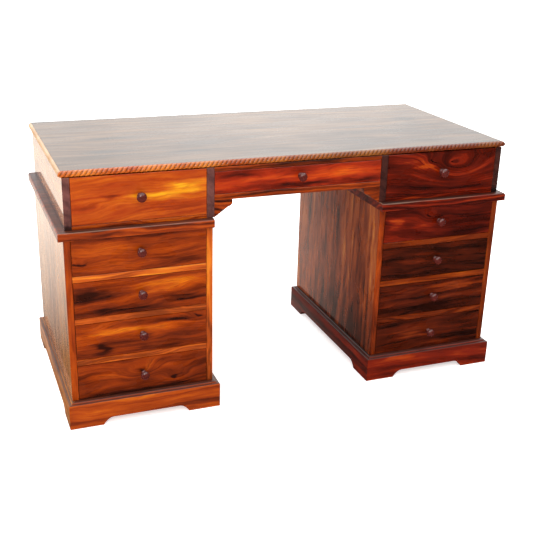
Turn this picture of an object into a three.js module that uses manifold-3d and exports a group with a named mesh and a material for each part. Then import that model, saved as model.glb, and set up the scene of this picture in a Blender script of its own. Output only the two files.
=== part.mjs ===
// Twin-pedestal writing desk in sheesham (Indian rosewood): eleven inset drawers, a rope-carved
// top edge, a moulded ledge over each pedestal and bracket plinths. Millimetres, +Z up, front at -Y.
// While it is built, X is centred, Y = 0 is the upper case's front plane and Z = 0 is the floor.

import * as THREE from 'three';
import { mergeVertices } from 'three/addons/utils/BufferGeometryUtils.js';
import Module from 'manifold-3d';

const wasm = await Module();
wasm.setup();

// ---------------------------------------------------------------- driving dimensions

const GAP = 0.3;                      // left between pieces that touch
const PAST = 1;                       // how far a cutter reaches past what it cuts
const ROUND_STEPS = 20;               // sides of a turned shape
const ROUNDING_STEPS = 3;             // straight steps in a small rounded corner
const NOSE_STEPS = 6;                 // straight steps in a nose or a hollow

const HEIGHT = 765;
const TOP_THICKNESS = 18;
const TOP_HALF_WIDTH = 687;           // flat board inside the rope moulding
const TOP_FRONT = 7;
const TOP_BACK = 630;
const ROPE_PROUD = 9;                 // how far the rope moulding stands out of the board's edge

const CASE_HALF_WIDTH = 686;
const CASE_DEPTH = 624;
const CASE_BOARD = 20;
const PARTITION_INNER = 263;
const PARTITION_BOARD = 22;
const BACK_BOARD = 12;

const LEDGE_TOP = 600;
const LEDGE_THICKNESS = 25;
const LEDGE_OUTER = 708;
const LEDGE_INNER = 267;
const LEDGE_FRONT = -19;
const LEDGE_BACK = 626;
const LEDGE_ROUND = 7;                // radius of its upper edge
const BOTTOM_RAIL_HEIGHT = 11;        // strip and runners under the upper side drawers
const RAIL_DEPTH = 20;

const CENTRE_RAIL_BOTTOM = 650;
const CENTRE_RAIL_THICKNESS = 18;
const TOP_RAIL_HEIGHT = 12;

const PEDESTAL_OUTER = 692;
const PEDESTAL_INNER = 268;
const PEDESTAL_FRONT = -4;
const PEDESTAL_BACK = 619;
const PEDESTAL_BOARD = 19;
const DIVIDER_THICKNESS = 18;
const PEDESTAL_DRAWERS = 4;

const PLINTH_TOP = 81;
const PLINTH_OUTER = 706;
const PLINTH_INNER = 250.5;
const PLINTH_FRONT = -27;
const PLINTH_BACK = 628;
const PLINTH_BOARD = 20;
const PLINTH_ROUND = 4;
const PLINTH_FLOOR_THICKNESS = 16;    // bottom board of the pedestal, let into the plinth
const FOOT_LENGTH = 98;
const FOOT_CUT_HEIGHT = 22;
const FOOT_CURVE_RUN = 30;
const FOOT_CURVE_TOE = 1;             // height at which the curve leaves the foot
const FOOT_CURVE_STEPS = 4;
const FOOT_PULL_ALONG = 0.4;          // where the curve's control point is, as shares of its run
const FOOT_PULL_UP = 0.9;             // and of its height

const CORBEL_WIDTH = 54;
const CORBEL_THICKNESS = 20;
const CORBEL_TIP = 8;                 // straight drop at the corbel's tip
const CORBEL_HOLLOW = 12;             // radius of the hollow after that drop

const FRONT_THICKNESS = 20;
const FRONT_CLEARANCE = 1.2;          // shadow gap round each drawer front
const BOX_SIDE_CLEARANCE = 2;
const BOX_LIFT = 0.5;                 // drawer box above the board it slides on
const BOX_HEADROOM = 10;
const BOX_LENGTH = 560;
const BOX_BOARD = 12;
const BOX_BOTTOM = 6;

const KNOB_LENGTH = 27;
const KNOB_ABOVE_CENTRE = 3;
const KNOB_LARGE = 14.5;              // head radius on the two upper side drawers
const KNOB_SMALL = 13.5;
const TENON_RADIUS = 4.5;
const TENON_LENGTH = 15;
const TENON_CLEARANCE = 0.3;
const KNOB_PROFILE = [                // share of the head's radius, height above the drawer front
  [0.68, 0], [0.7, 2.5], [0.45, 5.5], [0.42, 9], [0.72, 12.5],
  [1, 17], [0.97, 20.5], [0.75, 24.5], [0.4, 26.5],
];

// ---------------------------------------------------------------- derived dimensions

const TOP_UNDERSIDE = HEIGHT - TOP_THICKNESS;
const PARTITION_OUTER = PARTITION_INNER + PARTITION_BOARD;
const CASE_INNER = CASE_HALF_WIDTH - CASE_BOARD;
const CASE_BACK_FRONT = CASE_DEPTH - BACK_BOARD;
const CENTRE_RAIL_TOP = CENTRE_RAIL_BOTTOM + CENTRE_RAIL_THICKNESS;
const LEDGE_BOTTOM = LEDGE_TOP - LEDGE_THICKNESS;
const BAY_INNER = PEDESTAL_INNER + PEDESTAL_BOARD;
const BAY_OUTER = PEDESTAL_OUTER - PEDESTAL_BOARD;
const PEDESTAL_BACK_FRONT = PEDESTAL_BACK - BACK_BOARD;
const DRAWER_HEIGHT = (LEDGE_BOTTOM - PLINTH_TOP - (PEDESTAL_DRAWERS - 1) * DIVIDER_THICKNESS)
  / PEDESTAL_DRAWERS;
const DRAWER_PITCH = DRAWER_HEIGHT + DIVIDER_THICKNESS;
const FRONT_EXTENT = PEDESTAL_FRONT - KNOB_LENGTH - GAP;
const SIDES = { left: -1, right: 1 };

// ---------------------------------------------------------------- materials

const finish = (color, roughness) => new THREE.MeshStandardMaterial({ color, roughness, metalness: 0 });
const WOOD = {
  top: finish('#8a4a22', 0.25),
  carving: finish('#a8501c', 0.35),
  case: finish('#8c4a26', 0.3),
  front: finish('#a8481a', 0.25),
  ledge: finish('#8e3816', 0.3),
  pedestal: finish('#80391c', 0.3),
  plinth: finish('#96390f', 0.3),
  knob: finish('#3c1419', 0.2),
  drawerBox: finish('#b98a5a', 0.6),
  back: finish('#7a4628', 0.6),
};

// ---------------------------------------------------------------- solids

const PLANE = {                       // right-handed bases that an outline is extruded through
  x: new THREE.Matrix4().set(0, 0, 1, 0, 1, 0, 0, 0, 0, 1, 0, 0, 0, 0, 0, 1),
  y: new THREE.Matrix4().set(0, 1, 0, 0, 0, 0, 1, 0, 1, 0, 0, 0, 0, 0, 0, 1),
};

/** A box between two corners, in any order. */
function block([x0, x1], [y0, y1], [z0, z1]) {
  const box = new THREE.BoxGeometry(Math.abs(x1 - x0), Math.abs(y1 - y0), Math.abs(z1 - z0));
  return box.translate((x0 + x1) / 2, (y0 + y1) / 2, (z0 + z1) / 2);
}

/** A Shape extruded along X, its own axes lying along Y and Z. */
function alongX(shape, [x0, x1]) {
  const low = Math.min(x0, x1);
  const bar = new THREE.ExtrudeGeometry(shape, { depth: Math.abs(x1 - x0), bevelEnabled: false });
  return bar.applyMatrix4(PLANE.x).translate(low, 0, 0);
}

/** A Shape extruded along Y, its own axes lying along Z and X. */
function alongY(shape, [y0, y1]) {
  const bar = new THREE.ExtrudeGeometry(shape, { depth: y1 - y0, bevelEnabled: false });
  return bar.applyMatrix4(PLANE.y).translate(0, y0, 0);
}

/** A three.js geometry as a manifold solid. */
function solid(geometry) {
  const bare = geometry.clone();
  bare.deleteAttribute('normal');
  bare.deleteAttribute('uv');
  const merged = mergeVertices(bare, 1e-4);
  return new wasm.Manifold(new wasm.Mesh({
    numProp: 3,
    vertProperties: new Float32Array(merged.attributes.position.array),
    triVerts: new Uint32Array(merged.index.array),
  }));
}

/** A manifold solid as a three.js geometry. */
function geometryOf(body) {
  const mesh = body.getMesh();
  const geometry = new THREE.BufferGeometry();
  geometry.setAttribute('position', new THREE.BufferAttribute(new Float32Array(mesh.vertProperties), 3));
  geometry.setIndex(new THREE.BufferAttribute(new Uint32Array(mesh.triVerts), 1));
  geometry.computeVertexNormals();
  return geometry;
}

const desk = new THREE.Group();

/** Adds one named piece to the desk. */
function piece(name, geometry, material) {
  const mesh = new THREE.Mesh(geometry, material);
  mesh.name = name;
  desk.add(mesh);
}

/** A rectangle in a Shape's own axes; its upper corners may be rounded at the low or high end. */
function roundedOutline([a0, a1], [b0, b1], radius, roundLow, roundHigh) {
  const quarter = Math.PI / 2;
  const shape = new THREE.Shape();
  shape.moveTo(a0, b0);
  shape.lineTo(a1, b0);
  if (roundHigh) shape.absarc(a1 - radius, b1 - radius, radius, 0, quarter);
  else shape.lineTo(a1, b1);
  if (roundLow) shape.absarc(a0 + radius, b1 - radius, radius, quarter, 2 * quarter);
  else shape.lineTo(a0, b1);
  return coarse(shape);
}

/** The same outline with its arcs in a few straight steps. */
function coarse(shape) {
  return new THREE.Shape(shape.getPoints(ROUNDING_STEPS));
}

/** Swaps a Shape's two axes, which turns an outline seen along X into one for alongY. */
function swapped(shape) {
  return new THREE.Shape(shape.getPoints().map((p) => new THREE.Vector2(p.y, p.x)).reverse());
}

// ---------------------------------------------------------------- top and its carved edge

function buildTop() {
  const board = block([-TOP_HALF_WIDTH, TOP_HALF_WIDTH], [TOP_FRONT, TOP_BACK], [TOP_UNDERSIDE, HEIGHT]);
  piece('desk_top', board, WOOD.top);
}

/** The half-round nose round the front and both ends, mitred at the corners. */
function buildRopeMoulding() {
  const middle = (HEIGHT + TOP_UNDERSIDE) / 2;
  const halfHeight = TOP_THICKNESS / 2;
  const outer = TOP_HALF_WIDTH + GAP + ROPE_PROUD;
  const front = TOP_FRONT - GAP - ROPE_PROUD;
  const frontOutline = new THREE.Shape();
  frontOutline.moveTo(TOP_BACK, TOP_UNDERSIDE);
  frontOutline.lineTo(TOP_BACK, HEIGHT);
  frontOutline.absellipse(front + ROPE_PROUD, middle, ROPE_PROUD, halfHeight, Math.PI / 2, Math.PI * 1.5);
  const endOutline = new THREE.Shape();
  endOutline.absellipse(middle, outer - ROPE_PROUD, halfHeight, ROPE_PROUD, 0, Math.PI);
  endOutline.absellipse(middle, -outer + ROPE_PROUD, halfHeight, ROPE_PROUD, Math.PI, Math.PI * 2);
  const nose = new THREE.Shape(frontOutline.getPoints(NOSE_STEPS));
  const ends = new THREE.Shape(endOutline.getPoints(NOSE_STEPS));
  const slab = solid(alongX(nose, [-outer, outer])).intersect(solid(alongY(ends, [front, TOP_BACK])));
  const inside = TOP_HALF_WIDTH + GAP;
  const board = block([-inside, inside], [TOP_FRONT - GAP, HEIGHT], [0, HEIGHT + GAP]);
  piece('rope_moulding', geometryOf(slab.subtract(solid(board))), WOOD.carving);
}

// ---------------------------------------------------------------- upper case

function buildUpperCase() {
  const height = [LEDGE_TOP + GAP, TOP_UNDERSIDE - GAP];
  const backInner = CASE_INNER - GAP;
  const notch = PEDESTAL_INNER;
  const low = height[0];
  const backOutline = new THREE.Shape([
    [low, -backInner], [low, -notch], [CENTRE_RAIL_BOTTOM, -notch], [CENTRE_RAIL_BOTTOM, notch],
    [low, notch], [low, backInner], [height[1], backInner], [height[1], -backInner],
  ].map(([z, x]) => new THREE.Vector2(z, x)).reverse());
  piece('case_back', alongY(backOutline, [CASE_BACK_FRONT, CASE_DEPTH]), WOOD.back);
  for (const [side, sign] of Object.entries(SIDES)) {
    const end = block([sign * CASE_INNER, sign * CASE_HALF_WIDTH], [0, CASE_DEPTH], height);
    piece(`case_side_${side}`, end, WOOD.case);
    const across = [sign * PARTITION_INNER, sign * PARTITION_OUTER];
    piece(`case_partition_${side}`, block(across, [0, CASE_BACK_FRONT - GAP], height), WOOD.case);
    buildCorbel(side, sign);
  }
  const span = [GAP - PARTITION_INNER, PARTITION_INNER - GAP];
  const topRailLow = TOP_UNDERSIDE - TOP_RAIL_HEIGHT;
  piece('centre_top_rail', block(span, [0, RAIL_DEPTH], [topRailLow, TOP_UNDERSIDE - GAP]), WOOD.front);
  const shelf = block(span, [0, CASE_BACK_FRONT - GAP], [CENTRE_RAIL_BOTTOM, CENTRE_RAIL_TOP]);
  piece('centre_rail', shelf, WOOD.front);
}

/** The shaped bracket in the kneehole's upper corner. */
function buildCorbel(side, sign) {
  const wall = PARTITION_INNER - GAP;
  const tip = PARTITION_INNER - CORBEL_WIDTH;
  const top = CENTRE_RAIL_BOTTOM - GAP;
  const hollowTop = top - CORBEL_TIP;
  const outline = new THREE.Shape();
  outline.moveTo(LEDGE_TOP + GAP, wall);
  outline.lineTo(top, wall);
  outline.lineTo(top, tip);
  outline.lineTo(hollowTop, tip);
  outline.absarc(hollowTop, tip + CORBEL_HOLLOW, CORBEL_HOLLOW, -Math.PI / 2, -Math.PI, true);
  const hollowed = new THREE.Shape(outline.getPoints(NOSE_STEPS).reverse());
  const bracket = alongY(hollowed, [0, CORBEL_THICKNESS]);
  const placed = sign > 0 ? solid(bracket) : solid(bracket).mirror([1, 0, 0]);
  piece(`corbel_${side}`, geometryOf(placed), WOOD.case);
}

// ---------------------------------------------------------------- pedestals

/** The moulded ledge, with the strip and runners that carry the upper side drawer. */
function buildCap(side, sign) {
  const frontProfile = roundedOutline([LEDGE_FRONT, LEDGE_BACK], [LEDGE_BOTTOM, LEDGE_TOP],
    LEDGE_ROUND, true, false);
  const acrossProfile = roundedOutline([LEDGE_INNER, LEDGE_OUTER], [LEDGE_BOTTOM, LEDGE_TOP],
    LEDGE_ROUND, false, true);
  const ledge = solid(alongX(frontProfile, [LEDGE_INNER, LEDGE_OUTER]))
    .intersect(solid(alongY(swapped(acrossProfile), [LEDGE_FRONT, LEDGE_BACK])));
  const inner = PARTITION_OUTER + GAP;
  const outer = CASE_INNER - GAP;
  const height = [LEDGE_TOP - PAST, LEDGE_TOP + BOTTOM_RAIL_HEIGHT];
  const back = CASE_BACK_FRONT - GAP;
  const carriers = [
    block([inner, outer], [0, RAIL_DEPTH], height),
    block([inner, inner + RAIL_DEPTH], [0, back], height),
    block([outer - RAIL_DEPTH, outer], [0, back], height),
  ];
  const cap = carriers.reduce((body, strip) => body.add(solid(strip)), ledge);
  piece(`${side}_pedestal_cap`, geometryOf(sign > 0 ? cap : cap.mirror([1, 0, 0])), WOOD.ledge);
}

/** One foot cut-out's outline: flat in the middle, with a hollow curve down to each foot. */
function footCut(from, to) {
  const start = from + FOOT_LENGTH;
  const end = to - FOOT_LENGTH;
  const pull = FOOT_CURVE_RUN * FOOT_PULL_ALONG;
  const pullHeight = FOOT_CUT_HEIGHT * FOOT_PULL_UP;
  const cut = new THREE.Shape();
  cut.moveTo(start, -PAST);
  cut.lineTo(end, -PAST);
  cut.lineTo(end, FOOT_CURVE_TOE);
  cut.quadraticCurveTo(end - pull, pullHeight, end - FOOT_CURVE_RUN, FOOT_CUT_HEIGHT);
  cut.lineTo(start + FOOT_CURVE_RUN, FOOT_CUT_HEIGHT);
  cut.quadraticCurveTo(start + pull, pullHeight, start, FOOT_CURVE_TOE);
  return new THREE.Shape(cut.getPoints(FOOT_CURVE_STEPS));
}

/** The bracket plinth with the pedestal's bottom board let into it. */
function buildPlinth(side, sign) {
  const frontProfile = roundedOutline([PLINTH_FRONT, PLINTH_BACK], [0, PLINTH_TOP],
    PLINTH_ROUND, true, false);
  const acrossProfile = roundedOutline([PLINTH_INNER, PLINTH_OUTER], [0, PLINTH_TOP],
    PLINTH_ROUND, true, true);
  const hollow = block(
    [PLINTH_INNER + PLINTH_BOARD, PLINTH_OUTER - PLINTH_BOARD],
    [PLINTH_FRONT + PLINTH_BOARD, PLINTH_BACK - PLINTH_BOARD],
    [-PAST, PLINTH_TOP - PLINTH_FLOOR_THICKNESS],
  );
  const through = [PLINTH_FRONT - PAST, PLINTH_BACK + PAST];
  const frontCut = alongY(swapped(footCut(PLINTH_INNER, PLINTH_OUTER)), through);
  const across = [PLINTH_INNER - PAST, PLINTH_OUTER + PAST];
  const sideCut = alongX(footCut(PLINTH_FRONT, PLINTH_BACK), across);
  const plinth = solid(alongX(frontProfile, [PLINTH_INNER, PLINTH_OUTER]))
    .intersect(solid(alongY(swapped(acrossProfile), [PLINTH_FRONT, PLINTH_BACK])))
    .subtract(solid(hollow))
    .subtract(solid(frontCut))
    .subtract(solid(sideCut));
  piece(`${side}_plinth`, geometryOf(sign > 0 ? plinth : plinth.mirror([1, 0, 0])), WOOD.plinth);
}

function buildPedestal(side, sign) {
  const height = [PLINTH_TOP + GAP, LEDGE_BOTTOM - GAP];
  const depth = [PEDESTAL_FRONT, PEDESTAL_BACK];
  const bay = [sign * (BAY_INNER + GAP), sign * (BAY_OUTER - GAP)];
  const outer = block([sign * BAY_OUTER, sign * PEDESTAL_OUTER], depth, height);
  piece(`${side}_pedestal_outer_side`, outer, WOOD.pedestal);
  const inner = block([sign * PEDESTAL_INNER, sign * BAY_INNER], depth, height);
  piece(`${side}_pedestal_inner_side`, inner, WOOD.pedestal);
  piece(`${side}_pedestal_back`, block(bay, [PEDESTAL_BACK_FRONT, PEDESTAL_BACK], height), WOOD.back);
  for (let i = 1; i < PEDESTAL_DRAWERS; i += 1) {
    const top = LEDGE_BOTTOM - i * DRAWER_PITCH + DIVIDER_THICKNESS;
    const divider = block(bay, [PEDESTAL_FRONT, PEDESTAL_BACK_FRONT - GAP], [top - DIVIDER_THICKNESS, top]);
    piece(`${side}_divider_${i}`, divider, WOOD.pedestal);
  }
  buildCap(side, sign);
  buildPlinth(side, sign);
}

// ---------------------------------------------------------------- drawers

/** A turned mushroom knob on a tenon, its axis along -Y from the face of the drawer front. */
function knobGeometry(radius) {
  const profile = [
    [0, -TENON_LENGTH], [TENON_RADIUS, -TENON_LENGTH], [TENON_RADIUS, 0],
    ...KNOB_PROFILE.map(([share, height]) => [radius * share, height]),
    [0, KNOB_LENGTH],
  ];
  const points = profile.map(([r, h]) => new THREE.Vector2(r, h));
  return new THREE.LatheGeometry(points, ROUND_STEPS).rotateX(Math.PI);
}

/**
 * One drawer: its front with a socket, an open box behind it and a knob.
 * bay gives the opening's limits: x, z and the y of the face that the front is flush with.
 */
function buildDrawer(name, bay, knobRadius) {
  const [x0, x1] = bay.x;
  const [z0, z1] = bay.z;
  const centre = (x0 + x1) / 2;
  const knobHeight = (z0 + z1) / 2 + KNOB_ABOVE_CENTRE;

  const board = block([x0 + FRONT_CLEARANCE, x1 - FRONT_CLEARANCE], [bay.y, bay.y + FRONT_THICKNESS],
    [z0 + FRONT_CLEARANCE, z1 - FRONT_CLEARANCE]);
  const socketRadius = TENON_RADIUS + TENON_CLEARANCE;
  const socketEnd = bay.y + TENON_LENGTH + TENON_CLEARANCE;
  const socketLength = 2 * (socketEnd - bay.y);
  const socket = new THREE.CylinderGeometry(socketRadius, socketRadius, socketLength, ROUND_STEPS)
    .translate(centre, bay.y, knobHeight);
  piece(`drawer_front_${name}`, geometryOf(solid(board).subtract(solid(socket))), WOOD.front);

  const left = x0 + BOX_SIDE_CLEARANCE;
  const right = x1 - BOX_SIDE_CLEARANCE;
  const near = bay.y + FRONT_THICKNESS + GAP;
  const far = near + BOX_LENGTH;
  const bottom = z0 + BOX_LIFT;
  const rim = z1 - BOX_HEADROOM;
  const room = block([left + BOX_BOARD, right - BOX_BOARD], [near - PAST, far - BOX_BOARD],
    [bottom + BOX_BOTTOM, rim + PAST]);
  const box = solid(block([left, right], [near, far], [bottom, rim])).subtract(solid(room));
  piece(`drawer_box_${name}`, geometryOf(box), WOOD.drawerBox);

  const knob = knobGeometry(knobRadius).translate(centre, bay.y - GAP, knobHeight);
  piece(`knob_${name}`, knob, WOOD.knob);
}

function buildDrawers() {
  const upperBay = { y: 0, z: [LEDGE_TOP + BOTTOM_RAIL_HEIGHT, TOP_UNDERSIDE - GAP] };
  for (const [side, sign] of Object.entries(SIDES)) {
    const across = [sign * PARTITION_OUTER, sign * CASE_INNER].sort((a, b) => a - b);
    buildDrawer(`top_${side}`, { ...upperBay, x: across }, KNOB_LARGE);
  }
  const centreBay = {
    x: [-PARTITION_INNER, PARTITION_INNER],
    y: 0,
    z: [CENTRE_RAIL_TOP, TOP_UNDERSIDE - TOP_RAIL_HEIGHT],
  };
  buildDrawer('top_centre', centreBay, KNOB_SMALL);
  for (const [side, sign] of Object.entries(SIDES)) {
    const across = [sign * BAY_INNER, sign * BAY_OUTER].sort((a, b) => a - b);
    for (let i = 1; i <= PEDESTAL_DRAWERS; i += 1) {
      const top = LEDGE_BOTTOM - (i - 1) * DRAWER_PITCH;
      const bay = { x: across, y: PEDESTAL_FRONT, z: [top - DRAWER_HEIGHT, top] };
      buildDrawer(`${side}_${i}`, bay, KNOB_SMALL);
    }
  }
}

// ---------------------------------------------------------------- assembly

buildTop();
buildRopeMoulding();
buildUpperCase();
for (const [side, sign] of Object.entries(SIDES)) buildPedestal(side, sign);
buildDrawers();

// The frame's origin is the centre of the footprint, on the floor.
desk.position.y = -(FRONT_EXTENT + TOP_BACK) / 2;

export default desk;
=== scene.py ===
"""Looks of a twin-pedestal writing desk in sheesham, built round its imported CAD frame.

The flat boards stay as the frame's own nodes and get their finish and eased edges here. Turned,
carved and moulded work, and the boards that the frame joins in one solid, are built here and ride on
the frame's bodies. Everything is in metres, +Z up, with the front at -Y.
"""
import logging
import math
from collections.abc import Callable
from dataclasses import dataclass, field
from enum import Enum

import bmesh
import bpy
from mathutils import Matrix, Vector


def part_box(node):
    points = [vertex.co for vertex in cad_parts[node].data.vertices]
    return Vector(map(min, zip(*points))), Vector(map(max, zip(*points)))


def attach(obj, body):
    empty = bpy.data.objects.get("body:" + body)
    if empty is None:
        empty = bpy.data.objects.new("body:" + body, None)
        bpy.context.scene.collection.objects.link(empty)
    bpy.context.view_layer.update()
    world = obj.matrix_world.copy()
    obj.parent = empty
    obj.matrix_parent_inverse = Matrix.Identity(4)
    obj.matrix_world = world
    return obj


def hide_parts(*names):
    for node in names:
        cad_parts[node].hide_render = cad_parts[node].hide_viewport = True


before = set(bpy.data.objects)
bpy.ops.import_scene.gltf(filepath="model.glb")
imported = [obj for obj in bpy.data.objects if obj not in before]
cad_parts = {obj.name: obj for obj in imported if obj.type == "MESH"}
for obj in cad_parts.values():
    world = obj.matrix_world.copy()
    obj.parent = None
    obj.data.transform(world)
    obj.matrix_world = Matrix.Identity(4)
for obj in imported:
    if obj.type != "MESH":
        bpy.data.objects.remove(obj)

LOG = logging.getLogger("writing_desk")
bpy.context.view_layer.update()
MM = 0.001
MIX_A, MIX_B = 6, 7      # the colour sockets of a Mix node
CARCASE = "carcase"
SIDES = {"left": -1, "right": 1}
PEDESTAL_DRAWERS = 4
CAD_GAP = 0.3 * MM       # left in the frame between pieces that touch

Point = tuple[float, float]
Colour = tuple[float, float, float, float]
Tree = bpy.types.NodeTree
Value = bpy.types.Node | bpy.types.NodeSocket | float    # what a shader socket can be given


# ------------------------------------------------------------------ colour and node helpers

def linear(code: str) -> Colour:
    """Turns an sRGB hex colour into linear light.

    Args:
        code: six hex digits, with or without a leading #.

    Returns:
        Red, green, blue and alpha 1.
    """
    digits = code.lstrip("#")
    channels = [int(digits[i:i + 2], 16) / 255 for i in (0, 2, 4)]
    light = [c / 12.92 if c <= 0.04045 else ((c + 0.055) / 1.055) ** 2.4 for c in channels]
    return (*light, 1.0)


def add(tree: Tree, kind: str, inputs: dict | tuple = (),
        stops: list[tuple[float, str]] | None = None, **settings: object) -> bpy.types.Node:
    """Adds one shader node with its settings and links.

    Args:
        tree: the node tree that gets the node.
        kind: the node's type, without its ShaderNode prefix.
        inputs: a value, a socket, or a node whose first output is used, for each socket name or
            number, or as a tuple in the sockets' order.
        stops: for a colour ramp, its positions with their sRGB colours.
        settings: the node's own properties.

    Returns:
        The new node.
    """
    made = tree.nodes.new("ShaderNode" + kind)
    for key, value in settings.items():
        setattr(made, key, value)
    for name, value in (inputs if isinstance(inputs, dict) else dict(enumerate(inputs))).items():
        if isinstance(value, bpy.types.Node):
            value = next(o for o in value.outputs if o.enabled)
        if isinstance(value, bpy.types.NodeSocket):
            tree.links.new(value, made.inputs[name])
        else:
            made.inputs[name].default_value = value
    for i, (position, colour) in enumerate(stops or []):
        elements = made.color_ramp.elements
        stop = elements[i] if i < 2 else elements.new(position)
        stop.position = position
        stop.color = linear(colour)
    return made


def start_material(name: str) -> tuple[bpy.types.Material, Tree]:
    """A new material with an empty node tree, and that tree."""
    material = bpy.data.materials.new(name)
    material.use_nodes = True
    material.node_tree.nodes.clear()
    return material, material.node_tree


# ------------------------------------------------------------------ finishes

class Grain(Enum):
    """Which way a board's grain runs: the axes along it, across it and through the board."""

    FRONT = "XZY"
    TOP = "XYZ"
    SIDE_UPRIGHT = "ZYX"
    BACK_UPRIGHT = "ZXY"
    SIDE_LEVEL = "YZX"


class Polish(Enum):
    """How far the surface was finished: base roughness, coat weight and coat roughness."""

    GLOSS = (0.28, 1.0, 0.05)
    WAXED = (0.36, 0.60, 0.12)
    SATIN = (0.42, 0.35, 0.22)
    BARE = (0.62, 0.0, 0.5)


@dataclass(frozen=True)
class Palette:
    """Five sRGB colours of one timber, from sapwood to the darkest heartwood."""

    gold: str
    amber: str
    russet: str
    chestnut: str
    umber: str


# One timber, sheesham, board by board: yellow sapwood strips and the golden and red fronts of the
# left-hand drawers, the near-black heartwood of the right-hand ones, and the browner big panels.
# The right-hand pieces' darker palettes are partly their own heartwood and partly painted shade,
# where the light falls off towards the right.
SAPWOOD = Palette("#eab030", "#dd8a20", "#cc6c1c", "#b04c14", "#74300e")
GOLDEN = Palette("#e09c14", "#c87010", "#b44e0e", "#9a360a", "#682008")
VIVID = Palette("#d05c0c", "#b43c0a", "#962608", "#6a1806", "#380d06")
ORANGE = Palette("#c86608", "#a84406", "#862f05", "#5e1f06", "#2c0e06")
RUSSET = Palette("#a04806", "#863405", "#6a2404", "#4a1604", "#260a04")
RED = Palette("#a23804", "#781a02", "#581001", "#3a0902", "#1c0503")
DEEP = Palette("#7a2c08", "#581a05", "#401204", "#280b04", "#130504")
BROWN = Palette("#c8843c", "#b2602a", "#98461e", "#703018", "#3a180e")
HONEY = Palette("#dc9a50", "#cc8440", "#b86e30", "#965222", "#602f16")
TOPWOOD = Palette("#987452", "#80603f", "#664a30", "#4c3723", "#32251a")
PALE = Palette("#e2c193", "#d6b080", "#c89c68", "#b48450", "#96683c")
PLUM = Palette("#825046", "#70443e", "#5e3834", "#4a2c2a", "#2e1c1b")
SLATE = Palette("#54302a", "#46241e", "#381c18", "#2c1614", "#1c1010")
# Pale colour of rubbed edges, with painted highlight on them too.
WORN_AND_HIGHLIT_EDGE = "#eeb48c"
# Colour of the painted shade on faces that look up.
TOP_SHADE_COLOUR = "#3a2720"
SEED_STEPS = (317.0, 173.0, 89.0)    # how far in millimetres the figure moves from seed to seed
STAVE_STEPS = (1900.0, 430.0)        # and, at most, from stave to stave
STAVE_TONES = 0.22                   # how far apart in tone staves can be
LIPPING_DEPTH = 1.4                  # millimetres
WEAR_AND_HIGHLIGHT_REACH = 7.0                     # millimetres in from an edge


@dataclass(frozen=True)
class Knot:
    """A knot in a board, which the grain flows round.

    u and v are its place along and up the board, from 0 to 1; radius and rise are in millimetres;
    core is the dark middle's share of the radius.
    """

    u: float
    v: float
    radius: float = 16.0
    rise: float = 26.0
    dark: float = 0.35
    core: float = 0.6


@dataclass(frozen=True)
class Patch:
    """A soft patch on a board, placed as a Knot is: darker heartwood and paler sapwood, and on some
    boards painted shade.
    """

    u: float
    v: float
    half_length: float
    half_height: float
    shift: float


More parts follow.
